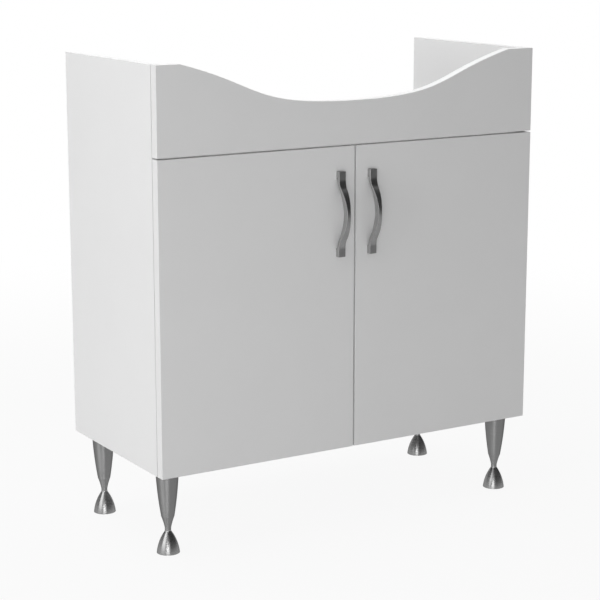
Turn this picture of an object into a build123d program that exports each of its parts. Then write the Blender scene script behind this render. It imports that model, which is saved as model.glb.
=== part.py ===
from build123d import *
import math
import os

# Free-standing washbasin base cabinet. Millimetres, +Z up, front towards -Y.
# Origin: on the floor, under the middle of the whole box that holds the cabinet.

# Case
cabinet_width = 700.0
case_height = 633.0
case_depth = 302.4
board = 16.0
front_gap = 1.6
edge_round = 0.5

# Fronts
fascia_height = 137.5
reveal = 2.6
door_split = 3.0
cutout_offset = -5.3
cutout_half = 304.9
cutout_depth = 68.4
cutout_floor_reach = 185.6
cutout_end_reach = 142.5
cutout_end_slope = 0.265

# Rails
fascia_rail_height = 56.0
fascia_rail_lift = 4.0
rear_rail_height = 100.0
rear_rail_drop = 112.0
lower_rail_height = 70.0
low_share = 0.25
high_share = 0.75
fascia_screw_shares = (-0.85, -0.3, 0.3, 0.85)
fascia_bite = 10.0
wall_hole_r = 3.5
wall_hole_inset = 90.0

# Dowels and cam fittings
dowel_r = 4.0
dowel_in_side = 11.0
dowel_in_end = 20.0
slip = 0.05
cam_r = 7.5
cam_height = 12.4
cam_setback = 24.0
cam_bolt_r = 2.9
cam_thread_r = 2.4
cam_head_r = 3.4
cam_head_length = 4.0
cam_head_room = 0.2
panel_dowel_inset = 70.0
panel_cam_inset = 112.0

# Legs
leg_height = 135.0
leg_side_inset = 29.0
leg_front_inset = 41.0
leg_rear_inset = 46.0
leg_top_r = 18.3
leg_belly_r = 15.5
leg_waist_r = 10.4
leg_waist_z = 60.0
neck_r = 4.95
neck_z = 38.4
neck_length = 2.6
neck_pinch = 0.5
foot_r = 18.3
foot_shoulder_r = 13.9
foot_crown_r = 6.2
foot_crown_drop = 4.2
foot_flare = 0.35
foot_flare_drop = 2.6
foot_collar = 0.8
foot_lip = 0.8
glide_r = 15.5
glide_height = 2.6
stud_r = 3.0
stud_hold = 17.0
stud_root_z = 9.0
stud_tip = 0.8
foot_travel = 14.0
run_fit = 0.08
bore_spare = 1.0
leg_bolt_r = 4.0
leg_bolt_depth = 24.0
tee_barrel_r = 5.2
tee_flange_r = 9.5
tee_flange = 1.6

# Doors and handles
handle_length = 136.5
handle_pitch = 128.0
handle_projection = 28.6
handle_from_edge = 28.0
handle_from_top = 106.7
handle_width = 12.4
handle_waist = 6.0
handle_block = 13.0
handle_block_depth = 8.5
handle_root = 3.5
handle_turn = 15.5
handle_hold = 12.0
handle_draw = 12.0
handle_mid_depth = 11.4
handle_soft = 0.5
handle_cross_slope = 0.3
handle_screw_r = 2.0
screw_head_r = 4.0
screw_head = 2.0
handle_thread = 6.0
buffer_r = 5.0
buffer_inset = 8.0

# Concealed hinges, seen from above: first value from the side panel's inner face,
# second value from the case's front plane, both for the left-hand side
hinge_inset = 95.0
cup_setback = 20.5
cup_r = 17.4
cup_depth = 11.4
cup_floor = 1.0
cup_flange = 1.0
cup_flange_r = 19.0
cup_screw_pitch = 45.0
cup_screw_offset = 9.5
cup_screw_r = 1.7
cup_screw_length = 11.0
cup_ear_r = 6.0
pocket_near = 15.0
pocket_far = 14.0
pocket_half = 7.0
arm_pivot = (14.0, 10.0)
cup_pivot_x = -7.0
cup_pivot_depth = 3.75
link_half = 6.0
link_thick = 2.5
link_low = (0.0, 7.2)
link_high = (6.5, 3.5)
arm_eye_r = 3.4
cup_eye_r = 2.5
arm_pin_r = 1.5
cup_pin_r = 1.25
cup_pin_half = 10.0
pin_end_room = 0.2
pin_fit = 0.04
arm_half = 9.0
arm_base = 6.0
arm_top = 18.0
arm_web = 1.5
arm_bend = 1.5
arm_nose_r = 4.5
arm_nose_turn = 36.87
arm_mouth = 5.0
arm_tail = 62.0
arm_web_start = 20.0
plate_half = 6.7
plate_start = 25.0
plate_end = 60.0
wing_half = 24.0
wing_length = 12.0
wing_thick = 3.0
system_line = 37.0
plate_screw_pitch = 32.0
plate_screw_r = 2.5
plate_screw_depth = 11.0
adjuster_r = 2.0
adjuster_head_r = 3.4
adjuster_head = 1.4
adjuster_depth = 8.0
adjuster_first = 31.0
adjuster_second = 52.0
slot_width = 1.0
slot_depth = 0.7
slot_share = 1.3

# Positions worked out from the sizes above
half_width = cabinet_width / 2
inner = half_width - board
front_y = (handle_projection - board - front_gap - case_depth) / 2
case_y = front_y + board + front_gap
rear_y = case_y + case_depth
bottom_z = leg_height
top_z = bottom_z + case_height
door_height = case_height - fascia_height - reveal
door_top = bottom_z + door_height
fascia_z = top_z - fascia_height
door_width = half_width - door_split / 2
cup_x = cup_setback - board
door_back = -front_gap
cup_pivot = (cup_pivot_x, door_back - cup_pivot_depth)
hinge_levels = [bottom_z + hinge_inset, door_top - hinge_inset]
handle_x = door_split / 2 + handle_from_edge
handle_z = door_top - handle_from_top
fascia_rail_z = fascia_z + fascia_rail_lift
rear_rail_z = top_z - rear_rail_drop - rear_rail_height
lower_rail_z = bottom_z + board
rail_y = rear_y - board
mid_board = board / 2
stud_reach = foot_travel + stud_hold
leg_x = half_width - leg_side_inset
leg_front_y = front_y + leg_front_inset
leg_rear_y = rear_y - leg_rear_inset
leg_spots = {
    "front_left": (-leg_x, leg_front_y),
    "front_right": (leg_x, leg_front_y),
    "rear_left": (-leg_x, leg_rear_y),
    "rear_right": (leg_x, leg_rear_y),
}

TURN = {
    "+x": Rot(0, 90, 0),
    "-x": Rot(0, -90, 0),
    "+y": Rot(-90, 0, 0),
    "-y": Rot(90, 0, 0),
    "+z": Rot(0, 0, 0),
    "-z": Rot(180, 0, 0),
}


def block(x0, x1, y0, y1, z0, z1):
    middle = Pos((x0 + x1) / 2, (y0 + y1) / 2, (z0 + z1) / 2)
    return middle * Box(abs(x1 - x0), abs(y1 - y0), abs(z1 - z0))


def rod(spot, way, radius, length):
    grown = Cylinder(radius, length, align=(Align.CENTER, Align.CENTER, Align.MIN))
    return Pos(*spot) * TURN[way] * grown


def save(name, pieces):
    solids = []
    for piece in pieces:
        solids.extend(piece.solids())
    export_step(Compound(solids), "parts/" + name + ".step")


def mirrored(pieces):
    return [mirror(piece, about=Plane.YZ) for piece in pieces]


# Where the boards meet the sides: each joint is a height, a depth and the cam's face


def dowel_spots():
    spots = []
    for offset in (panel_dowel_inset, case_depth - panel_dowel_inset):
        spots.append((case_y + offset, bottom_z + mid_board))
    spots.append((rail_y + mid_board, rear_rail_z + rear_rail_height * low_share))
    spots.append((rail_y + mid_board, lower_rail_z + lower_rail_height * low_share))
    rail_middle = case_y - front_gap + mid_board
    for share in (low_share, high_share):
        spots.append((rail_middle, fascia_rail_z + fascia_rail_height * share))
    return spots


def cam_spots():
    spots = []
    for offset in (panel_cam_inset, case_depth - panel_cam_inset):
        spots.append((case_y + offset, bottom_z + mid_board, "+z", bottom_z))
    high = rear_rail_z + rear_rail_height * high_share
    low = lower_rail_z + lower_rail_height * high_share
    spots.append((rail_y + mid_board, high, "+y", rail_y))
    spots.append((rail_y + mid_board, low, "+y", rail_y))
    return spots


def drilled_for_joints(panel):
    for sign, outward in ((-1, "-x"), (1, "+x")):
        start = sign * (inner - dowel_in_end - bore_spare)
        reach = dowel_in_end + dowel_in_side + 2 * bore_spare
        for y, z in dowel_spots():
            panel -= rod((start, y, z), outward, dowel_r, reach)
        for y, z, way, face in cam_spots():
            panel -= cam_recess(sign, y, z, way, face)
            panel -= bolt_bores(sign, y, z, outward)
    return panel


def cam_base(sign, y, z, way, face):
    x = sign * (inner - cam_setback)
    if way == "+z":
        return (x, y, face)
    return (x, face, z)


def cam_recess(sign, y, z, way, face):
    return rod(cam_base(sign, y, z, way, face), way, cam_r + slip, cam_height + slip)


def bolt_bores(sign, y, z, outward):
    shank = rod((sign * (inner - cam_setback), y, z), outward, cam_bolt_r + slip, cam_setback)
    thread = rod((sign * inner, y, z), outward, cam_thread_r + slip, dowel_in_side + bore_spare)
    return shank + thread


def dowels():
    made = []
    for sign, outward in ((-1, "-x"), (1, "+x")):
        start = sign * (inner - dowel_in_end)
        for y, z in dowel_spots():
            pin = rod((start, y, z), outward, dowel_r - slip, dowel_in_end + dowel_in_side)
            made.append(pin)
    return made


def cam_locks():
    made = []
    for sign, outward in ((-1, "-x"), (1, "+x")):
        for y, z, way, face in cam_spots():
            base = cam_base(sign, y, z, way, face)
            cam = rod(base, way, cam_r, cam_height)
            throat = sign * (inner - cam_setback - cam_head_length)
            throat_length = cam_r + cam_head_length + bore_spare
            cam -= rod((throat, y, z), outward, cam_head_r + cam_head_room, throat_length)
            cam -= cross_slot(base, way, cam_r * slot_share)
            made.append(cam)
    return made


def cross_slot(base, way, length):
    slot = Box(length, slot_width, 2 * slot_depth) + Box(slot_width, length, 2 * slot_depth)
    return Pos(*base) * TURN[way] * slot


def cam_bolts():
    made = []
    for sign, outward in ((-1, "-x"), (1, "+x")):
        for y, z, way, face in cam_spots():
            root = sign * (inner - cam_setback - cam_head_length / 2)
            neck = sign * (inner - cam_setback + cam_head_length / 2)
            bolt = rod((root, y, z), outward, cam_head_r, cam_head_length)
            bolt += rod((neck, y, z), outward, cam_bolt_r, cam_setback - cam_head_length / 2)
            bolt += rod((sign * inner, y, z), outward, cam_thread_r, dowel_in_side)
            made.append(bolt)
    return made


# Case boards


def side_panel_left():
    panel = block(-half_width, -inner, case_y, rear_y, bottom_z, top_z)
    panel = drilled_for_joints(panel)
    for level in hinge_levels:
        for step in (-0.5, 0.5):
            z = level + step * plate_screw_pitch
            spot = (-inner, case_y + system_line, z)
            panel -= rod(spot, "-x", plate_screw_r + slip, plate_screw_depth + bore_spare)
    return panel


def bottom_panel():
    panel = block(-inner, inner, case_y, rear_y, bottom_z, bottom_z + board)
    panel = drilled_for_joints(panel)
    for x, y in leg_spots.values():
        panel -= rod((x, y, bottom_z), "+z", tee_barrel_r + slip, board)
    return panel


def rear_rail_upper():
    rail = block(-inner, inner, rail_y, rear_y, rear_rail_z, rear_rail_z + rear_rail_height)
    rail = drilled_for_joints(rail)
    for sign in (-1, 1):
        x = sign * (inner - wall_hole_inset)
        rail -= rod((x, rail_y, rear_rail_z + rear_rail_height / 2), "+y", wall_hole_r, board)
    return rail


def rear_rail_lower():
    rail = block(-inner, inner, rail_y, rear_y, lower_rail_z, lower_rail_z + lower_rail_height)
    return drilled_for_joints(rail)


def fascia_screw_spots():
    z = fascia_rail_z + fascia_rail_height / 2
    return [(inner * share, z) for share in fascia_screw_shares]


def fascia_rail():
    y0 = case_y - front_gap
    rail = block(-inner, inner, y0, y0 + board, fascia_rail_z, fascia_rail_z + fascia_rail_height)
    rail = drilled_for_joints(rail)
    for x, z in fascia_screw_spots():
        rail -= rod((x, y0, z), "+y", handle_screw_r + slip, board)
    return rail


def fascia_screws():
    made = []
    back = case_y - front_gap + board
    for x, z in fascia_screw_spots():
        screw = rod((x, back, z), "-y", handle_screw_r, board + fascia_bite)
        screw += rod((x, back, z), "+y", screw_head_r, screw_head)
        screw -= cross_slot((x, back + screw_head, z), "-y", screw_head_r * slot_share)
        made.append(screw)
    return made


# The wavy front edge: one Bezier curve for each half, meeting level in the middle


def fascia_panel():
    middle = cutout_offset
    low = -cutout_depth
    shoulder = -cutout_end_slope * cutout_end_reach
    outline = []
    for sign in (-1, 1):
        near = (middle + sign * cutout_floor_reach, low)
        far = (middle + sign * (cutout_half - cutout_end_reach), shoulder)
        end = (middle + sign * cutout_half, 0)
        outline.append(Bezier((middle, low), near, far, end))
    left_end = (middle - cutout_half, 0)
    right_end = (middle + cutout_half, 0)
    frame = Polyline(
        left_end,
        (-half_width, 0),
        (-half_width, -fascia_height),
        (half_width, -fascia_height),
        (half_width, 0),
        right_end,
    )
    face = make_face([outline[0].edge(), outline[1].edge(), *frame.edges()])
    upright = Plane((0, front_y, top_z), x_dir=(1, 0, 0), z_dir=(0, -1, 0))
    panel = upright * extrude(face, -board)
    front_edges = panel.faces().sort_by(Axis.Y)[0].edges()
    panel = fillet(front_edges, edge_round)
    for x, z in fascia_screw_spots():
        panel -= rod((x, front_y + board, z), "-y", handle_screw_r + slip, fascia_bite + bore_spare)
    return panel


# Legs


def leg_column(x, y):
    top = leg_height
    belly = (leg_belly_r, (top + leg_waist_z) / 2)
    low = neck_z + neck_length
    pinch = ((leg_waist_r + neck_r) / 2 - neck_pinch, (leg_waist_z + low) / 2)
    waist = (leg_waist_r, leg_waist_z)
    lines = [
        Line((0, top), (leg_top_r, top)),
        ThreePointArc((leg_top_r, top), belly, waist),
        ThreePointArc(waist, pinch, (neck_r, low)),
        Line((neck_r, low), (neck_r, neck_z)),
        Line((neck_r, neck_z), (0, neck_z)),
        Line((0, neck_z), (0, top)),
    ]
    column = revolve(Plane.XZ * make_face(lines), Axis.Z)
    column -= rod((0, 0, neck_z), "+z", stud_r + run_fit, stud_reach + bore_spare)
    column -= rod((0, 0, top), "-z", leg_bolt_r + slip, leg_bolt_depth + bore_spare)
    return Pos(x, y, 0) * column


def foot(x, y):
    crown = (foot_crown_r, neck_z - foot_crown_drop)
    flare = (neck_r + foot_flare, neck_z - foot_flare_drop)
    shoulder = (foot_shoulder_r, neck_z / 2)
    collar = (neck_r, neck_z - foot_collar)
    lines = [
        Line((0, neck_z), (neck_r, neck_z)),
        Line((neck_r, neck_z), collar),
        ThreePointArc(collar, flare, crown),
        ThreePointArc(crown, shoulder, (foot_r, foot_lip)),
        Line((foot_r, foot_lip), (0, foot_lip)),
        Line((0, foot_lip), (0, neck_z)),
    ]
    bell = revolve(Plane.XZ * make_face(lines), Axis.Z)
    bell -= rod((0, 0, 0), "+z", glide_r + slip, glide_height)
    bell -= rod((0, 0, stud_root_z), "+z", stud_r + slip, neck_z)
    return Pos(x, y, 0) * bell


def foot_stud(x, y):
    stud = rod((x, y, stud_root_z), "+z", stud_r, neck_z + stud_reach - stud_root_z)
    return chamfer(stud.edges().sort_by(Axis.Z)[-1:], stud_tip)


def foot_glide(x, y):
    return rod((x, y, 0), "+z", glide_r, glide_height)


def leg_bolts():
    made = []
    for x, y in leg_spots.values():
        length = leg_bolt_depth + board - 2 * bore_spare
        made.append(rod((x, y, leg_height - leg_bolt_depth), "+z", leg_bolt_r, length))
    return made


def tee_nuts():
    made = []
    for x, y in leg_spots.values():
        nut = rod((x, y, bottom_z + bore_spare), "+z", tee_barrel_r, board - bore_spare)
        nut += rod((x, y, bottom_z + board), "+z", tee_flange_r, tee_flange)
        nut -= rod((x, y, bottom_z), "+z", leg_bolt_r + slip, board + tee_flange + bore_spare)
        made.append(nut)
    return made


# Doors


def door_left():
    edge = -half_width
    door = block(edge, edge + door_width, front_y, front_y + board, bottom_z, door_top)
    door = fillet(door.faces().sort_by(Axis.Y)[0].edges(), edge_round)
    back = front_y + board
    for level in hinge_levels:
        x = -inner + cup_x
        door -= rod((x, back, level), "-y", cup_r + slip, cup_depth + slip)
        for sign in (-1, 1):
            z = level + sign * cup_screw_pitch / 2
            door -= rod((x + cup_screw_offset, back, z), "-y", cup_screw_r + slip, cup_screw_length)
    for sign in (-1, 1):
        z = handle_z + sign * handle_pitch / 2
        door -= rod((-handle_x, front_y, z), "+y", handle_screw_r + slip, board)
    return door


def soft_edge(edge, half):
    spot = edge @ 0.5
    crosswise = abs((edge % 0.5).X) < handle_cross_slope
    return spot.Y > slip and not (crosswise and abs(spot.X) < half - slip)


def handle_flank(sign, half):
    wide = sign * handle_width / 2
    thin = sign * handle_waist / 2
    held = (handle_block + handle_hold, wide)
    drawn = (half - handle_draw, thin)
    return Bezier((handle_block, wide), held, drawn, (half, thin))


def bow_turn(half, low, high):
    share = handle_turn / (half - handle_block)
    return (handle_block + handle_turn, low + (high - low) * share)


def handle_left():
    half = handle_length / 2
    rise = handle_block
    deep = handle_block_depth
    top = handle_projection
    under = top - handle_mid_depth
    over_turn = bow_turn(half, deep, top)
    under_turn = bow_turn(half, handle_root, under)
    lines = [
        Line((0, 0), (0, deep)),
        Line((0, deep), (rise, deep)),
        TangentArc((rise, deep), over_turn, tangent=(1, 0)),
        TangentArc((half, top), over_turn, tangent=(-1, 0)),
        Line((half, top), (half, under)),
        TangentArc((half, under), under_turn, tangent=(-1, 0)),
        TangentArc((rise, handle_root), under_turn, tangent=(1, 0)),
        Line((rise, handle_root), (rise, 0)),
        Line((rise, 0), (0, 0)),
    ]
    side = extrude(make_face(lines), handle_width, both=True)
    wide = handle_width / 2
    thin = handle_waist / 2
    flank = [
        Line((0, -wide), (0, wide)),
        Line((0, wide), (rise, wide)),
        handle_flank(1, half),
        Line((half, thin), (half, -thin)),
        handle_flank(-1, half),
        Line((rise, -wide), (0, -wide)),
    ]
    outline = Rot(90, 0, 0) * extrude(make_face(flank), 2 * top, both=True)
    grip = side & outline
    grip = grip + mirror(grip, about=Plane((half, 0, 0), z_dir=(1, 0, 0)))
    grip = Pos(-half, 0, 0) * grip
    grip = fillet([e for e in grip.edges() if soft_edge(e, half)], handle_soft)
    for sign in (-1, 1):
        spot = (sign * handle_pitch / 2, 0, 0)
        grip -= rod(spot, "+y", handle_screw_r + slip, handle_thread + slip)
    placed = Plane((-handle_x, front_y, handle_z), x_dir=(0, 0, 1), z_dir=(1, 0, 0))
    return placed * grip


def handle_screws_left():
    made = []
    back = front_y + board
    for sign in (-1, 1):
        z = handle_z + sign * handle_pitch / 2
        screw = rod((-handle_x, back, z), "-y", handle_screw_r, board + handle_thread)
        screw += rod((-handle_x, back, z), "+y", screw_head_r, screw_head)
        screw -= cross_slot((-handle_x, back + screw_head, z), "-y", screw_head_r * slot_share)
        made.append(screw)
    return made


def door_buffers_left():
    back = front_y + board
    high = (-half_width + buffer_inset, back, door_top - 2 * buffer_inset)
    low = (-door_split / 2 - 2 * buffer_inset, back, bottom_z + buffer_inset)
    return [rod(high, "+y", buffer_r, front_gap), rod(low, "+y", buffer_r, front_gap)]


# Concealed hinge, drawn in plan around its own middle height, for the left-hand side


def hung(piece):
    made = []
    for level in hinge_levels:
        made.append(Pos(-inner, case_y, level) * piece)
    return made


def cup():
    body = rod((cup_x, door_back, 0), "-y", cup_r, cup_depth)
    screw_x = cup_x + cup_screw_offset
    ear = cup_screw_pitch / 2
    plate = Pos(cup_x, 0) * Circle(cup_flange_r)
    for sign in (-1, 1):
        plate += Pos(screw_x, sign * ear) * Circle(cup_ear_r)
    plate += Pos(screw_x, 0) * Rectangle(2 * cup_ear_r, 2 * ear)
    flat = Plane((0, door_back, 0), x_dir=(1, 0, 0), z_dir=(0, 1, 0))
    body += flat * extrude(plate, cup_flange)
    pocket_low = door_back - cup_depth + cup_floor
    high = door_back + cup_flange + bore_spare
    near = cup_x - pocket_near
    body -= block(near, cup_x + pocket_far, pocket_low, high, -pocket_half, pocket_half)
    body -= block(near - cup_r, near + cup_flange, door_back, high, -pocket_half, pocket_half)
    body -= rod((*cup_pivot, -cup_pin_half), "+z", cup_pin_r + pin_fit, 2 * cup_pin_half)
    for sign in (-1, 1):
        spot = (screw_x, door_back - bore_spare, sign * ear)
        body -= rod(spot, "+y", cup_screw_r + slip, cup_flange + 2 * bore_spare)
    return body


def cup_screws():
    made = []
    for sign in (-1, 1):
        spot = (cup_x + cup_screw_offset, door_back + cup_flange, sign * cup_screw_pitch / 2)
        screw = rod(spot, "-y", cup_screw_r, cup_screw_length)
        screw += rod(spot, "+y", adjuster_head_r, adjuster_head)
        slot_spot = (spot[0], spot[1] + adjuster_head, spot[2])
        screw -= cross_slot(slot_spot, "-y", adjuster_head_r * slot_share)
        made.append(screw)
    return made


def cup_pin():
    half = cup_pin_half - pin_end_room
    return rod((*cup_pivot, -half), "+z", cup_pin_r, 2 * half)


def arm_pin():
    return rod((*arm_pivot, -arm_half), "+z", arm_pin_r, 2 * arm_half)


def strap(start, end):
    run = (end[0] - start[0], end[1] - start[1])
    turn = math.degrees(math.atan2(run[1], run[0]))
    middle = ((start[0] + end[0]) / 2, (start[1] + end[1]) / 2)
    return Pos(*middle) * Rot(0, 0, turn) * SlotCenterToCenter(math.hypot(*run), link_thick)


def link():
    low = (link_low[0], door_back - link_low[1])
    high = (link_high[0], door_back - link_high[1])
    outline = strap(cup_pivot, low) + strap(low, high) + strap(high, arm_pivot)
    outline += Pos(*arm_pivot) * Circle(arm_eye_r)
    outline += Pos(*cup_pivot) * Circle(cup_eye_r)
    outline -= Pos(*arm_pivot) * Circle(arm_pin_r + pin_fit)
    outline -= Pos(*cup_pivot) * Circle(cup_pin_r + pin_fit)
    return extrude(outline, link_half, both=True)


def arm():
    nose_x, nose_y = arm_pivot
    short = arm_nose_r * math.sin(math.radians(arm_nose_turn))
    long = arm_nose_r * math.cos(math.radians(arm_nose_turn))
    cheek = Polyline(
        (nose_x + short, nose_y - long),
        (arm_top, arm_web_start),
        (arm_top, arm_tail),
        (arm_base, arm_tail),
        (arm_base, arm_web_start),
        (nose_x - long, nose_y - short),
        close=True,
    )
    outline = make_face(cheek) + Pos(nose_x, nose_y) * Circle(arm_nose_r)
    body = extrude(outline, arm_half, both=True)
    bends = body.edges().filter_by(Axis.Y).group_by(Axis.X)[-1]
    body = fillet(bends, arm_bend)
    inside = arm_top - arm_web
    body -= block(0, inside, 0, arm_tail + bore_spare, -pocket_half, pocket_half)
    mouth = arm_top + arm_mouth
    body -= block(0, mouth, -arm_mouth, arm_web_start, -pocket_half, pocket_half)
    body -= rod((nose_x, nose_y, -arm_half), "+z", arm_pin_r + pin_fit / 2, 2 * arm_half)
    for y in (adjuster_first, adjuster_second):
        start = (inside - bore_spare, y, 0)
        body -= rod(start, "+x", adjuster_r + slip, arm_web + 2 * bore_spare)
    return body


def hinge_plate():
    inside = arm_top - arm_web
    plate = block(0, inside, plate_start, plate_end, -plate_half, plate_half)
    wings = Plane((0, system_line, 0), x_dir=(0, 0, 1), z_dir=(1, 0, 0))
    plate += wings * extrude(SlotOverall(2 * wing_half, wing_length), wing_thick)
    for y in (adjuster_first, adjuster_second):
        plate -= rod((inside, y, 0), "-x", adjuster_r + slip, adjuster_depth + bore_spare)
    for sign in (-1, 1):
        z = sign * plate_screw_pitch / 2
        plate -= rod((0, system_line, z), "+x", plate_screw_r + slip, wing_thick)
    return plate


def plate_screws():
    made = []
    for sign in (-1, 1):
        z = sign * plate_screw_pitch / 2
        screw = rod((wing_thick, system_line, z), "-x", plate_screw_r, wing_thick + plate_screw_depth)
        screw += rod((wing_thick, system_line, z), "+x", screw_head_r, screw_head)
        top = (wing_thick + screw_head, system_line, z)
        screw -= cross_slot(top, "-x", screw_head_r * slot_share)
        made.append(screw)
    return made


def adjusters():
    made = []
    for y in (adjuster_first, adjuster_second):
        screw = rod((arm_top, y, 0), "-x", adjuster_r, arm_web + adjuster_depth)
        screw += rod((arm_top, y, 0), "+x", adjuster_head_r, adjuster_head)
        screw -= cross_slot((arm_top + adjuster_head, y, 0), "-x", adjuster_head_r * slot_share)
        made.append(screw)
    return made


def save_pair(name, pieces):
    save(name + "_left", pieces)
    save(name + "_right", mirrored(pieces))


def hung_all(pieces):
    made = []
    for piece in pieces:
        made.extend(hung(piece))
    return made


def main():
    os.makedirs("parts", exist_ok=True)
    save_pair("side_panel", [side_panel_left()])
    save("bottom_panel", [bottom_panel()])
    save("fascia_panel", [fascia_panel()])
    save("fascia_rail", [fascia_rail()])
    save("rear_rail_upper", [rear_rail_upper()])
    save("rear_rail_lower", [rear_rail_lower()])
    save("dowels", dowels())
    save("cam_locks", cam_locks())
    save("cam_bolts", cam_bolts())
    save("fascia_screws", fascia_screws())
    save("leg_bolts", leg_bolts())
    save("tee_nuts", tee_nuts())
    for place, (x, y) in leg_spots.items():
        save("leg_column_" + place, [leg_column(x, y)])
        save("foot_" + place, [foot(x, y)])
        save("foot_stud_" + place, [foot_stud(x, y)])
        save("foot_glide_" + place, [foot_glide(x, y)])
    save_pair("door", [door_left()])
    save_pair("handle", [handle_left()])
    save_pair("handle_screws", handle_screws_left())
    save_pair("door_buffers", door_buffers_left())
    save_pair("hinge_cups", hung(cup()))
    save_pair("cup_screws", hung_all(cup_screws()))
    save_pair("cup_pins", hung(cup_pin()))
    save_pair("arm_pins", hung(arm_pin()))
    save_pair("hinge_links", hung(link()))
    save_pair("hinge_arms", hung(arm()))
    save_pair("hinge_plates", hung(hinge_plate()))
    save_pair("plate_screws", hung_all(plate_screws()))
    save_pair("hinge_adjusters", hung_all(adjusters()))


main()
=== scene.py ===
import math
from collections import namedtuple

import bpy
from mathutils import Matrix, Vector


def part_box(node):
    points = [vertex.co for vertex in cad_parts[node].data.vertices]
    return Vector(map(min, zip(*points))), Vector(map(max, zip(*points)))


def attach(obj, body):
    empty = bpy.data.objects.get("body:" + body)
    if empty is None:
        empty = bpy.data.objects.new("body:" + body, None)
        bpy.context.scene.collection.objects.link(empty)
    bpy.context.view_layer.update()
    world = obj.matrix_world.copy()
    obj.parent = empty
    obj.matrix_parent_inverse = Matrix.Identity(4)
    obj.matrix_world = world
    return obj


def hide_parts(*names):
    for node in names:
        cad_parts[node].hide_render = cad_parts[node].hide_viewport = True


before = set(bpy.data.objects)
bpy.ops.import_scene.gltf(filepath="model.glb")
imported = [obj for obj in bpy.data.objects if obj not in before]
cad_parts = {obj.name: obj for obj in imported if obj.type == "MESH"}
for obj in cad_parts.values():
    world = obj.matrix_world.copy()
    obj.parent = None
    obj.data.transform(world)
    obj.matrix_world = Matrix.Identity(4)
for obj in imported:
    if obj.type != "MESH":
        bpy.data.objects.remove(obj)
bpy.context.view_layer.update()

# Metres and degrees, in the frame's own axes: +Z up, the cabinet's front towards -Y.

PLACES = ("front_left", "front_right", "rear_left", "rear_right")
SIDES = ("left", "right")

# Camera, set by fitting the cabinet's corners
CAMERA_SPOT = (-1.536, -2.4947, 0.977)
CAMERA_YAW = 31.39
CAMERA_PITCH = 12.04
CAMERA_LENS = 107.16
SENSOR = 36.0

# World and floor: the floor's own glow goes from the first lift to the second over the fade
AMBIENT = 0.457
BACKGROUND = 1.0
FLOOR_SIZE = 60.0
FLOOR_TONE = 0.45
FLOOR_LIFT = (0.92, 1.0)
FLOOR_FADE = (0.7, 2.4)

# Lamps: name, spot, aim, width, height, power, and whether reflections show the lamp
LAMPS = (
    ("key", (-2.6, -0.3, 1.75), (-0.2, -0.1, 0.6), 1.9, 3.0, 34.3, True),
    ("strip", (-1.5, -2.1, 0.32), (0.0, 0.0, 0.3), 1.15, 0.55, 10.5, True),
    ("top", (-0.55, 0.7, 3.4), (0.0, 0.1, 0.4), 2.6, 2.6, 51.0, True),
    ("fill", (2.6, 0.9, 1.3), (0.35, 0.1, 0.45), 1.6, 1.6, 8.0, False),
)

# Cards that metal reflects: name, azimuth, distance, width, foot and head height,
# and the glow below and above the two heights of FLAG_RISE
FLAG_RISE = (0.2, 0.7)
FLAGS = (
    ("flag_right", 24.0, 2.4, 3.3, (0.0, 9.0), (0.28, 0.10)),
    ("flag_side", 84.0, 2.4, 2.5, (0.0, 3.0), (0.12, 0.08)),
    ("flag_front", -26.0, 2.4, 1.4, (1.0, 4.0), (0.10, 0.10)),
    ("flag_left", -133.0, 1.6, 2.0, (0.0, 2.6), (0.60, 0.27)),
)

# Noise: where most of its values lie, and pairs of cells per metre and detail
NOISE_SPAN = (0.3, 0.7)
FACE_CLOUD = (11.0, 6.0)
FACE_SPECK = (1100.0, 2.0)
FACE_PEARL = (620.0, 3.0)
FACE_DULL = (240.0, 5.0)
CORE_FLAKE = (520.0, 3.0)
GLIDE_GRIT = (1800.0, 3.0)
GLIDE_SCUFF = (90.0, 6.0)
VINYL_HAZE = (420.0, 4.0)

# Edges: samples of the rounded normal, and the cosines of its turn over which an edge fades
RIM_SAMPLES = 8
RIM_TURN = (0.75, 0.99)

# Boards: white facing, edge band and the chipboard core that the bores lay bare
FACE_TONES = (0.812, 0.826)
SPECK_TONE = 0.845
SPECK_SHARE = 0.35
FACE_ROUGH = (0.40, 0.52)
FACE_IOR = 1.5
PEARL_DEEP = 0.00005
BAND_THICK = 0.0009
BAND_FACE = 0.0002
BAND_TONE = 0.80
BAND_SHARE = 0.5
BAND_LINE = 0.00012
LINE_TONE = 0.60
LINE_SHARE = 0.5
BOARD_EDGE = 0.0003
BOARD_EDGE_TONE = 0.85
BOARD_EDGE_SHARE = 0.15
CORE_DEEP = 0.0014
CORE_SKIN = 0.0004
CORE_TONES = ((0.30, 0.18, 0.09), (0.58, 0.42, 0.26))
CORE_ROUGH = 0.85

# Metals: tones, roughness, cells of grain along X, Y and Z, depth of grain, cells of cloud,
# radius and tone of the worn edges
Metal = namedtuple("Metal", "tones rough grain deep cloud edge edge_tone")
HANDLE = Metal(
    tones=(0.205, 0.275),
    rough=(0.28, 0.38),
    grain=(1500.0, 1500.0, 24.0),
    deep=0.00001,
    cloud=45.0,
    edge=0.0002,
    edge_tone=0.38,
)
COLUMN = Metal(
    tones=(0.24, 0.28),
    rough=(0.37, 0.44),
    grain=(18.0, 18.0, 2600.0),
    deep=0.000006,
    cloud=30.0,
    edge=0.0005,
    edge_tone=0.34,
)
FOOT = Metal(
    tones=(0.26, 0.33),
    rough=(0.25, 0.32),
    grain=(10.0, 10.0, 3200.0),
    deep=0.000003,
    cloud=40.0,
    edge=0.0005,
    edge_tone=0.46,
)
NICKEL = Metal(
    tones=((0.60, 0.595, 0.58), (0.66, 0.655, 0.64)),
    rough=(0.22, 0.28),
    grain=(900.0, 140.0, 900.0),
    deep=0.000002,
    cloud=70.0,
    edge=0.0004,
    edge_tone=0.78,
)
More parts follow.
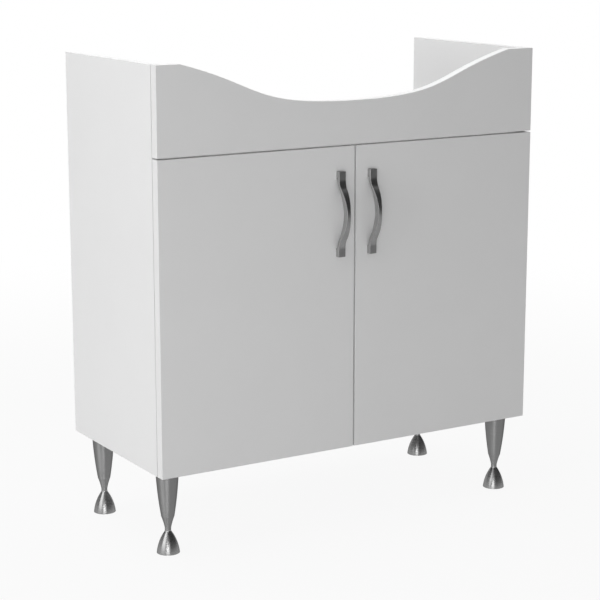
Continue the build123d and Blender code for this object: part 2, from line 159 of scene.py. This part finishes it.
ZINC_X = Metal(
    tones=((0.50, 0.51, 0.53), (0.63, 0.62, 0.58)),
    rough=(0.28, 0.44),
    grain=(2400.0, 30.0, 30.0),
    deep=0.00002,
    cloud=160.0,
    edge=0.0004,
    edge_tone=0.74,
)
ZINC_Y = ZINC_X._replace(grain=(30.0, 2400.0, 30.0))
ZINC_Z = ZINC_X._replace(grain=(30.0, 30.0, 2400.0))
GRAIN_DETAIL = 4.0
CLOUD_DETAIL = 5.0
CLOUD_MIDDLE = 0.5
WORN_SHARE = (0.5, 1.0)

# Painted light on the handles' flanks, painted paler than their fronts: the X part of the normal
# where it fades in
PAINTED_FLANK_LIGHT_TURN = (0.6, 0.9)
PAINTED_FLANK_LIGHT_SHARE = 0.85
PAINTED_FLANK_LIGHT_TONE = 0.47

# Turned metal: smear along the axis, and reflection left at grazing angles
COLUMN_SMEAR = 0.9
COLUMN_GRAZING = 0.35
FOOT_SMEAR = 0.6
FOOT_GRAZING = 0.45
SMEAR_TURN = 0.25

# Beech dowels
BEECH_GRAIN = (45.0, 900.0, 900.0)
BEECH_DETAIL = 6.0
BEECH_TONES = ((0.46, 0.30, 0.16), (0.66, 0.48, 0.29))
BEECH_ROUGH = (0.72, 0.56)
BEECH_DEEP = 0.00006
FLECK_GRAIN = (260.0, 2600.0, 2600.0)
FLECK_DETAIL = 2.0
FLECK_SPAN = (0.3, 0.45)
FLECK_SHARE = 0.4
FLECK_TONE = (0.33, 0.19, 0.09)

# Glides under the feet
GLIDE_TONES = (0.030, 0.055)
GLIDE_ROUGH = (0.42, 0.60)
GLIDE_DEEP = 0.00003
GLIDE_EDGE = 0.0004
GLIDE_EDGE_TONE = 0.10
GLIDE_EDGE_SHARE = 0.6

# Door buffers
VINYL_TONES = ((0.86, 0.88, 0.87), (0.95, 0.96, 0.95))
VINYL_ROUGH = (0.18, 0.38)
VINYL_CLEAR = 0.7
VINYL_IOR = 1.46
VINYL_DEEP = 0.00002
VINYL_EDGE = 0.0005
VINYL_EDGE_TONE = 1.0
VINYL_EDGE_SHARE = 0.3

# Threads of the levelling studs, with rings of points per turn and points per ring
THREAD_PITCH = 0.001
THREAD_DEPTH = 0.00055
THREAD_FLANK = 1.3
THREAD_STEPS = 6
THREAD_SIDES = 28
STUD_TIP = 0.0008

# Sockets of the Mix node when it mixes colours
MIX_SHARE, MIX_FIRST, MIX_SECOND, MIX_RESULT = 0, 6, 7, 2


def colour(tone):
    """A grey level, or red, green and blue, with full opacity."""
    return (*tone, 1.0) if isinstance(tone, tuple) else (tone, tone, tone, 1.0)


class Tree:
    """The emptied node tree of a material or world, with short ways to add nodes."""

    def __init__(self, owner):
        owner.use_nodes = True
        self.tree = owner.node_tree
        self.tree.nodes.clear()

    def add(self, kind, inputs=None, **settings):
        node = self.tree.nodes.new(kind)
        for key, value in settings.items():
            setattr(node, key, value)
        for key, value in (inputs or {}).items():
            self.feed(node.inputs[key], value)
        return node

    def feed(self, socket, value):
        if isinstance(value, bpy.types.NodeSocket):
            self.tree.links.new(value, socket)
        else:
            socket.default_value = value

    def object_spot(self):
        return self.add("ShaderNodeTexCoord").outputs["Object"]

    def math(self, operation, first, second=0.0):
        return self.add("ShaderNodeMath", {0: first, 1: second}, operation=operation).outputs[0]

    def spread(self, value, low, high, span=NOISE_SPAN, **settings):
        """Maps a value over this span to the range from low to high."""
        inputs = {"Value": value, "From Min": span[0], "From Max": span[1]}
        inputs.update({"To Min": low, "To Max": high})
        return self.add("ShaderNodeMapRange", inputs, **settings).outputs[0]

    def seen_plainly(self):
        """One where a camera, glossy or see-through ray arrives, nought for the light itself."""
        path = self.add("ShaderNodeLightPath").outputs
        seen = self.math("MAXIMUM", path["Is Camera Ray"], path["Is Glossy Ray"])
        return self.math("MAXIMUM", seen, path["Is Transmission Ray"])


class Finish(Tree):
    """One node material around a Principled shader."""

    def __init__(self, name):
        self.material = bpy.data.materials.new(name)
        super().__init__(self.material)
        self.shader = self.add("ShaderNodeBsdfPrincipled")
        self.add("ShaderNodeOutputMaterial", {"Surface": self.shader.outputs[0]})
        self.spot = self.object_spot()

    def give(self, **inputs):
        for key, value in inputs.items():
            self.feed(self.shader.inputs[key.replace("_", " ")], value)

    def noise(self, scale, detail, vector=None):
        inputs = {"Vector": vector or self.spot, "Scale": scale, "Detail": detail}
        return self.add("ShaderNodeTexNoise", inputs).outputs[0]

    def grain(self, cells, detail):
        """Noise with its own number of cells along X, Y and Z."""
        stretched = self.add("ShaderNodeMapping", {"Vector": self.spot, "Scale": cells})
        return self.noise(1.0, detail, stretched.outputs[0])

    def mix(self, share, first, second):
        inputs = {MIX_SHARE: share, MIX_FIRST: first, MIX_SECOND: second}
        return self.add("ShaderNodeMix", inputs, data_type="RGBA").outputs[MIX_RESULT]

    def between(self, value, tones):
        """A colour between two tones, as the noise goes from low to high."""
        return self.mix(self.spread(value, 0.0, 1.0), colour(tones[0]), colour(tones[1]))

    def tint(self, tone, mask, share, other):
        """Another tone mixed in where the mask is, up to this share."""
        return self.mix(self.math("MULTIPLY", mask, share), tone, colour(other))

    def bump(self, height, distance, normal=None):
        inputs = {"Height": height, "Distance": distance, "Strength": 1.0}
        if normal:
            inputs["Normal"] = normal
        return self.add("ShaderNodeBump", inputs).outputs[0]

    def rim(self, radius):
        """A rounded normal along the edges, and a mask of those edges."""
        soft = self.add("ShaderNodeBevel", {"Radius": radius}, samples=RIM_SAMPLES).outputs[0]
        plain = self.add("ShaderNodeNewGeometry").outputs["Normal"]
        inputs = {0: soft, 1: plain}
        dot = self.add("ShaderNodeVectorMath", inputs, operation="DOT_PRODUCT").outputs["Value"]
        return soft, self.spread(dot, 1.0, 0.0, RIM_TURN)


def depth_from(finish, axes, low, high):
    """How far a point lies inside the box, along the nearest of these axes."""
    parts = finish.add("ShaderNodeSeparateXYZ", {0: finish.spot}).outputs
    nearest = None
    for axis in axes:
        from_low = finish.math("SUBTRACT", parts[axis], low[axis])
        from_high = finish.math("SUBTRACT", high[axis], parts[axis])
        inside = finish.math("MINIMUM", from_low, from_high)
        nearest = finish.math("MINIMUM", nearest, inside) if nearest else inside
    return nearest


def melamine(node, cored=True):
    """White faced board: faint mottling, pearl texture, edge band and raw core in the bores."""
    finish = Finish("melamine_" + node)
    low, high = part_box(node)
    size = high - low
    thin = min(range(3), key=lambda axis: size[axis])
    wide = [axis for axis in range(3) if axis != thin]
    from_edge = depth_from(finish, wide, low, high)
    from_face = depth_from(finish, [thin], low, high)

    tone = finish.between(finish.noise(*FACE_CLOUD), FACE_TONES)
    speck = finish.spread(finish.noise(*FACE_SPECK), 0.0, SPECK_SHARE)
    tone = finish.mix(speck, tone, colour(SPECK_TONE))
    off_line = finish.math("ABSOLUTE", finish.math("SUBTRACT", from_edge, BAND_THICK))
    line = finish.spread(off_line, LINE_SHARE, 0.0, (BAND_LINE / 2, BAND_LINE))
    tone = finish.mix(line, tone, colour(LINE_TONE))
    on_band = finish.math("LESS_THAN", from_edge, BAND_FACE)
    tone = finish.tint(tone, on_band, BAND_SHARE, BAND_TONE)
    soft, edge = finish.rim(BOARD_EDGE)
    tone = finish.tint(tone, edge, BOARD_EDGE_SHARE, BOARD_EDGE_TONE)
    rough = finish.spread(finish.noise(*FACE_DULL), *FACE_ROUGH)
    if cored:
        deep = finish.math("GREATER_THAN", from_edge, CORE_DEEP)
        skin = finish.math("GREATER_THAN", from_face, CORE_SKIN)
        raw = finish.math("MULTIPLY", deep, skin)
        tone = finish.mix(raw, tone, finish.between(finish.noise(*CORE_FLAKE), CORE_TONES))
        rough = finish.math("MAXIMUM", rough, finish.math("MULTIPLY", raw, CORE_ROUGH))
    finish.give(Base_Color=tone, Roughness=rough, IOR=FACE_IOR)
    finish.give(Normal=finish.bump(finish.noise(*FACE_PEARL), PEARL_DEEP, soft))
    return finish.material


def metal(name, kind):
    """Metal with a directed grain, a slow cloud of tone and brighter worn edges."""
    finish = Finish(name)
    lines = finish.grain(kind.grain, GRAIN_DETAIL)
    cloud = finish.noise(kind.cloud, CLOUD_DETAIL)
    both = finish.math("ADD", lines, finish.math("SUBTRACT", cloud, CLOUD_MIDDLE))
    soft, edge = finish.rim(kind.edge)
    worn = finish.math("MULTIPLY", edge, finish.spread(cloud, *WORN_SHARE))
    tone = finish.mix(worn, finish.between(both, kind.tones), colour(kind.edge_tone))
    finish.give(Base_Color=tone, Metallic=1.0, Roughness=finish.spread(both, *kind.rough))
    finish.give(Normal=finish.bump(lines, kind.deep, soft))
    return finish


def handle_metal():
    finish = metal("dark_satin_metal", HANDLE)
    facing = finish.add("ShaderNodeTexCoord").outputs["Normal"]
    across = finish.add("ShaderNodeSeparateXYZ", {0: facing}).outputs["X"]
    # Painted highlight: the flanks that face sideways are painted paler, standing in for the
    # light that falls on them
    painted_flank_light = finish.spread(finish.math("ABSOLUTE", across), 0.0, PAINTED_FLANK_LIGHT_SHARE, PAINTED_FLANK_LIGHT_TURN)
    satin = finish.shader.inputs["Base Color"].links[0].from_socket
    finish.give(Base_Color=finish.mix(painted_flank_light, satin, colour(PAINTED_FLANK_LIGHT_TONE)))
    return finish.material


def turned(finish, smear, grazing):
    """A lathe's rings smear reflections along the axis and dull them at grazing angles."""
    around = finish.add("ShaderNodeTangent", direction_type="RADIAL", axis="Z").outputs[0]
    finish.give(Tangent=around, Anisotropic=smear, Anisotropic_Rotation=SMEAR_TURN)
    finish.give(Specular_Tint=colour(grazing))
    return finish.material


def beech():
    finish = Finish("beech_dowel")
    grain = finish.grain(BEECH_GRAIN, BEECH_DETAIL)
    flecks = finish.grain(FLECK_GRAIN, FLECK_DETAIL)
    fleck = finish.spread(flecks, FLECK_SHARE, 0.0, FLECK_SPAN)
    tone = finish.mix(fleck, finish.between(grain, BEECH_TONES), colour(FLECK_TONE))
    finish.give(Base_Color=tone, Roughness=finish.spread(grain, *BEECH_ROUGH))
    finish.give(Normal=finish.bump(grain, BEECH_DEEP))
    return finish.material


def glide_plastic():
    finish = Finish("dark_glide_plastic")
    scuff = finish.noise(*GLIDE_SCUFF)
    soft, edge = finish.rim(GLIDE_EDGE)
    tone = finish.between(scuff, GLIDE_TONES)
    tone = finish.tint(tone, edge, GLIDE_EDGE_SHARE, GLIDE_EDGE_TONE)
    finish.give(Base_Color=tone, Roughness=finish.spread(scuff, *GLIDE_ROUGH))
    finish.give(Normal=finish.bump(finish.noise(*GLIDE_GRIT), GLIDE_DEEP, soft))
    return finish.material


def buffer_vinyl():
    finish = Finish("clear_soft_vinyl")
    haze = finish.noise(*VINYL_HAZE)
    soft, edge = finish.rim(VINYL_EDGE)
    tone = finish.between(haze, VINYL_TONES)
    tone = finish.tint(tone, edge, VINYL_EDGE_SHARE, VINYL_EDGE_TONE)
    finish.give(Base_Color=tone, Roughness=finish.spread(haze, *VINYL_ROUGH))
    finish.give(Transmission_Weight=VINYL_CLEAR, IOR=VINYL_IOR)
    finish.give(Normal=finish.bump(haze, VINYL_DEEP, soft))
    return finish.material


def dress(material, *nodes):
    for node in nodes:
        piece = bpy.data.objects[node]
        piece.data.materials.clear()
        piece.data.materials.append(material)


def dress_boards():
    boards = ["bottom_panel", "fascia_rail", "rear_rail_upper", "rear_rail_lower"]
    for side in SIDES:
        boards += ["side_panel_" + side, "door_" + side]
    for node in boards:
        dress(melamine(node), node)
    dress(melamine("fascia_panel", cored=False), "fascia_panel")
    dress(beech(), "dowels")


def dress_legs():
    column = turned(metal("satin_grey_metal", COLUMN), COLUMN_SMEAR, COLUMN_GRAZING)
    foot = turned(metal("turned_bright_metal", FOOT), FOOT_SMEAR, FOOT_GRAZING)
    glide = glide_plastic()
    for place in PLACES:
        dress(column, "leg_column_" + place)
        dress(foot, "foot_" + place)
        dress(glide, "foot_glide_" + place)


def dress_fittings(zinc_z):
    handle = handle_metal()
    vinyl = buffer_vinyl()
    nickel = metal("nickel_plate", NICKEL).material
    zinc_x = metal("zinc_along_x", ZINC_X).material
    zinc_y = metal("zinc_along_y", ZINC_Y).material
    dress(zinc_x, "cam_bolts")
    dress(zinc_y, "cam_locks", "fascia_screws")
    dress(zinc_z, "leg_bolts", "tee_nuts")
    for side in SIDES:
        dress(handle, "handle_" + side)
        dress(vinyl, "door_buffers_" + side)
        dress(nickel, "hinge_cups_" + side, "cup_pins_" + side, "arm_pins_" + side)
        dress(nickel, "hinge_links_" + side, "hinge_arms_" + side, "hinge_plates_" + side)
        dress(zinc_y, "handle_screws_" + side, "cup_screws_" + side)
        dress(zinc_x, "plate_screws_" + side, "hinge_adjusters_" + side)


def thread_spots(low, high):
    """Rings of points up a stud, drawn in towards the root of a helical thread."""
    middle = (low + high) / 2
    radius = (high.x - low.x) / 2
    length = high.z - low.z
    rings = round(length / THREAD_PITCH * THREAD_STEPS)
    spots = []
    for ring in range(rings + 1):
        up = length * ring / rings
        for step in range(THREAD_SIDES):
            share = step / THREAD_SIDES
            wave = (up / THREAD_PITCH - share) % 1.0
            deep = THREAD_DEPTH * min(1.0, abs(2.0 * wave - 1.0) * THREAD_FLANK)
            reach = radius - max(deep, up - length + STUD_TIP)
            turn = 2.0 * math.pi * share
            spot = (math.cos(turn) * reach, math.sin(turn) * reach, up + low.z)
            spots.append((middle.x + spot[0], middle.y + spot[1], spot[2]))
    return spots, rings


def threaded_stud(place, material):
    """A levelling stud with a true helical thread, in the space of its plain solid."""
    node = "foot_stud_" + place
    verts, rings = thread_spots(*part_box(node))
    faces = []
    for ring in range(rings):
        base = ring * THREAD_SIDES
        above = base + THREAD_SIDES
        for step in range(THREAD_SIDES):
            after = (step + 1) % THREAD_SIDES
            faces.append((base + step, base + after, above + after, above + step))
    faces.append(tuple(reversed(range(THREAD_SIDES))))
    faces.append(tuple(range(rings * THREAD_SIDES, (rings + 1) * THREAD_SIDES)))
    mesh = bpy.data.meshes.new("threaded_stud_" + place)
    mesh.from_pydata(verts, [], faces)
    mesh.validate()
    mesh.shade_smooth()
    stud = bpy.data.objects.new(mesh.name, mesh)
    bpy.context.scene.collection.objects.link(stud)
    mesh.materials.append(material)
    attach(stud, "foot_" + place)
    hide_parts(node)


def make_world():
    world = bpy.data.worlds.new("studio")
    bpy.context.scene.world = world
    tree = Tree(world)
    backs = []
    for strength in (AMBIENT, BACKGROUND):
        inputs = {"Color": colour(1.0), "Strength": strength}
        backs.append(tree.add("ShaderNodeBackground", inputs).outputs[0])
    inputs = {0: tree.seen_plainly(), 1: backs[0], 2: backs[1]}
    pick = tree.add("ShaderNodeMixShader", inputs).outputs[0]
    tree.add("ShaderNodeOutputWorld", {"Surface": pick})


def make_sheet(name, corners, material):
    """A single flat face with four corners."""
    mesh = bpy.data.meshes.new(name)
    mesh.from_pydata(corners, [], [(0, 1, 2, 3)])
    mesh.materials.append(material)
    sheet = bpy.data.objects.new(name, mesh)
    bpy.context.scene.collection.objects.link(sheet)
    return sheet


def make_floor():
    """A pale floor, nearly white to the eye, that keeps the cabinet's shadow."""
    material = bpy.data.materials.new("pale_floor")
    tree = Tree(material)
    matt = tree.add("ShaderNodeBsdfDiffuse", {"Color": colour(FLOOR_TONE)}).outputs[0]
    glow = tree.add("ShaderNodeEmission", {"Color": colour(1.0)}).outputs[0]
    inputs = {0: tree.object_spot()}
    reach = tree.add("ShaderNodeVectorMath", inputs, operation="LENGTH").outputs["Value"]
    lift = tree.spread(reach, *FLOOR_LIFT, FLOOR_FADE, interpolation_type="SMOOTHSTEP")
    share = tree.math("MULTIPLY", tree.seen_plainly(), lift)
    pick = tree.add("ShaderNodeMixShader", {0: share, 1: matt, 2: glow}).outputs[0]
    tree.add("ShaderNodeOutputMaterial", {"Surface": pick})
    half = FLOOR_SIZE / 2
    corners = [(-half, -half, 0.0), (half, -half, 0.0), (half, half, 0.0), (-half, half, 0.0)]
    floor = make_sheet("floor", corners, material)


def make_lamp(name, spot, aim, width, height, power, reflected):
    lamp = bpy.data.lights.new(name, "AREA")
    lamp.shape = "RECTANGLE"
    lamp.size = width
    lamp.size_y = height
    lamp.energy = power
    holder = bpy.data.objects.new(name, lamp)
    holder.location = spot
    holder.rotation_mode = "QUATERNION"
    holder.rotation_quaternion = (Vector(aim) - Vector(spot)).to_track_quat("-Z", "Y")
    bpy.context.scene.collection.objects.link(holder)
    holder.visible_camera = False
    holder.visible_glossy = reflected


def make_flag(name, azimuth, distance, width, heights, glow):
    """A dim upright card that only reflections see, so that metal has something to show."""
    material = bpy.data.materials.new(name)
    tree = Tree(material)
    height = tree.add("ShaderNodeSeparateXYZ", {0: tree.object_spot()}).outputs["Z"]
    shine = tree.add("ShaderNodeEmission", {"Strength": tree.spread(height, *glow, FLAG_RISE)})
    tree.add("ShaderNodeOutputMaterial", {"Surface": shine.outputs[0]})
    turn = math.radians(azimuth)
    middle = Vector((math.sin(turn) * distance, -math.cos(turn) * distance, sum(heights) / 2))
    along = Vector((math.cos(turn), math.sin(turn), 0.0)) * (width / 2)
    up = Vector((0.0, 0.0, (heights[1] - heights[0]) / 2))
    lower = [middle - along - up, middle + along - up]
    upper = [middle + along + up, middle - along + up]
    flag = make_sheet(name, [tuple(corner) for corner in lower + upper], material)
    flag.visible_camera = False
    flag.visible_diffuse = False
    flag.visible_shadow = False
    flag.visible_transmission = False


def make_camera():
    data = bpy.data.cameras.new("camera")
    data.lens = CAMERA_LENS
    data.sensor_width = SENSOR
    camera = bpy.data.objects.new("camera", data)
    yaw = math.radians(CAMERA_YAW)
    pitch = math.radians(CAMERA_PITCH)
    level = math.cos(pitch)
    ahead = Vector((math.sin(yaw) * level, math.cos(yaw) * level, -math.sin(pitch)))
    camera.location = CAMERA_SPOT
    camera.rotation_mode = "QUATERNION"
    camera.rotation_quaternion = ahead.to_track_quat("-Z", "Y")
    bpy.context.scene.collection.objects.link(camera)
    bpy.context.scene.camera = camera


make_camera()
zinc = metal("zinc_along_z", ZINC_Z).material
dress_boards()
dress_legs()
dress_fittings(zinc)
for place in PLACES:
    threaded_stud(place, zinc)
make_world()
make_floor()
for lamp in LAMPS:
    make_lamp(*lamp)
for flag in FLAGS:
    make_flag(*flag)
bpy.context.scene.view_settings.view_transform = "Standard"
